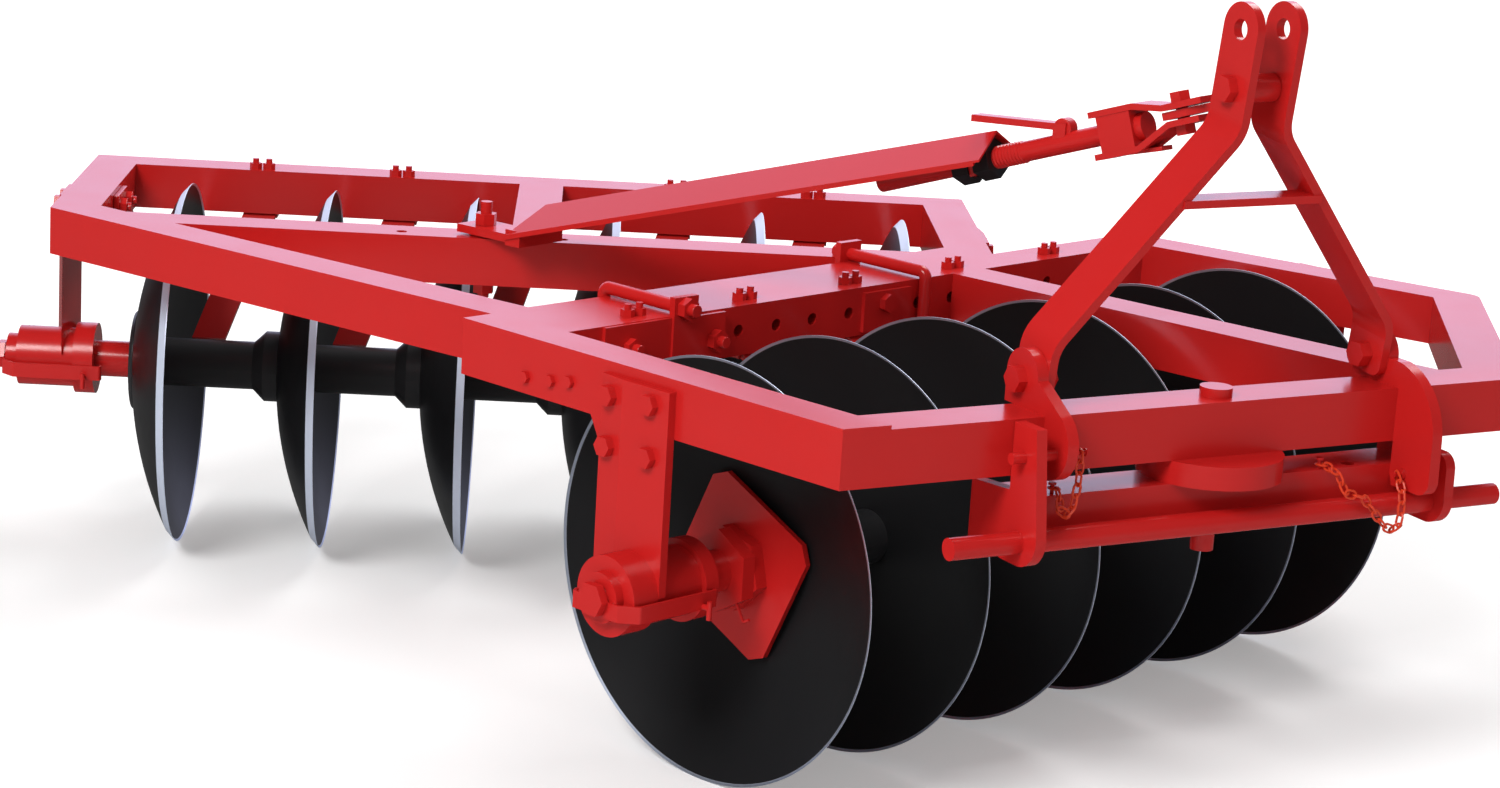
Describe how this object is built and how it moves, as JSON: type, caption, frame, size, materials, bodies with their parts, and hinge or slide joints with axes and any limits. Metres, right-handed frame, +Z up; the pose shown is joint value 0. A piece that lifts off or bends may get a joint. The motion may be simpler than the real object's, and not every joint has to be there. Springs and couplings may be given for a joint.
{
  "type": "offset disc harrow",
  "caption": "Offset disc harrow for a tractor's three-point linkage: two angled gangs of dished discs under a welded tube frame, with a leaning mast and a screwed stay.",
  "frame": {"origin": "on the ground, at the middle of the outline in plan", "axes": "+X forwards to the tractor, +Y to the machine's left, +Z up"},
  "size_m": [2.0102, 1.8676, 1.0557],
  "materials": {
    "red_paint": "gloss enamel",
    "disc_paint": "gloss black",
    "gang_paint": "gloss black",
    "black_steel": "satin black",
    "chain_paint": "orange-red"
  },
  "bodies": {
    "frame": {"front_side_tube_right": "red_paint", "hitch_beam": "red_paint", "front_gang_beam": "red_paint", "front_side_tube_left": "red_paint", "front_end_tube_left": "red_paint", "diagonal_brace": "red_paint", "splice_beam": "red_paint", "link_tube": "red_paint", "stay_beam": "red_paint", "rear_side_tube_right": "red_paint", "rear_side_tube_left": "red_paint", "rear_gang_beam": "red_paint", "rear_middle_tube": "red_paint", "lower_hitch_beam": "red_paint", "lower_swivel_plate": "red_paint", "upper_swivel_plate": "red_paint", "king_pin": "red_paint", "cross_shaft": "red_paint", "hitch_plate_right": "red_paint", "hitch_plate_left": "red_paint", "mast_lug_right": "red_paint", "mast_lug_left": "red_paint", "lock_pin_right": "red_paint", "lock_pin_left": "red_paint", "front_nut_bearing": "red_paint", "rear_nut_bearing": "red_paint", "front_bumper_bearing": "red_paint", "rear_bumper_bearing": "red_paint", "front_wedge_pad": "red_paint", "stay_foot_bolt": "red_paint", "splice_hook_right": "red_paint", "splice_hook_left": "red_paint", "lock_chain_right": "chain_paint", "lock_chain_left": "chain_paint"},
    "front_gang": {"front_disc_1": "disc_paint", "front_disc_2": "disc_paint", "front_disc_3": "disc_paint", "front_disc_4": "disc_paint", "front_disc_5": "disc_paint", "front_disc_6": "disc_paint", "front_spindle": "gang_paint", "front_bumper_sleeve": "red_paint", "front_nut_plate": "red_paint"},
    "rear_gang": {"rear_disc_1": "disc_paint", "rear_disc_2": "disc_paint", "rear_disc_3": "disc_paint", "rear_disc_4": "disc_paint", "rear_disc_5": "disc_paint", "rear_disc_6": "disc_paint", "rear_spindle": "gang_paint", "rear_bumper_sleeve": "red_paint", "rear_nut_plate": "red_paint"},
    "mast": {"mast": "red_paint", "mast_bolt": "red_paint"},
    "stay": {"stay": "red_paint", "stay_nut_lower": "black_steel", "stay_nut_upper": "black_steel"},
    "stay_rod": {"stay_rod": "red_paint", "stay_coupling": "red_paint", "stay_tongue": "red_paint"}
  },
  "joints": [
    {"name": "front_gang_spin", "type": "hinge", "parent": "frame", "child": "front_gang", "pos_m": [0.57507, -0.41529, 0.28], "axis": [-0.2756, 0.9613, 0], "continuous": true},
    {"name": "rear_gang_spin", "type": "hinge", "parent": "frame", "child": "rear_gang", "pos_m": [-0.68593, -0.66429, 0.28], "axis": [0.454, 0.891, 0], "continuous": true},
    {"name": "mast_tilt", "type": "hinge", "parent": "frame", "child": "mast", "pos_m": [0.87006, 0.11871, 0.589], "axis": [0, 1, 0], "range_deg": [-4, 4]},
    {"name": "stay_swing", "type": "hinge", "parent": "frame", "child": "stay", "pos_m": [-0.25794, -0.36029, 0.5643], "axis": [-0.097, 0.7562, -0.6471], "range_deg": [-0.62, 0.62]},
    {"name": "rod_slide", "type": "slide", "parent": "stay", "child": "stay_rod", "axis": [0.8779, 0.3586, 0.3173], "range_m": [-0.022, 0.022]}
  ],
  "couplings": [
    {"joint": "stay_swing", "follows": "mast_tilt", "ratio": 0.15177},
    {"joint": "rod_slide", "follows": "mast_tilt", "m_per_rad": 0.30541}
  ]
}
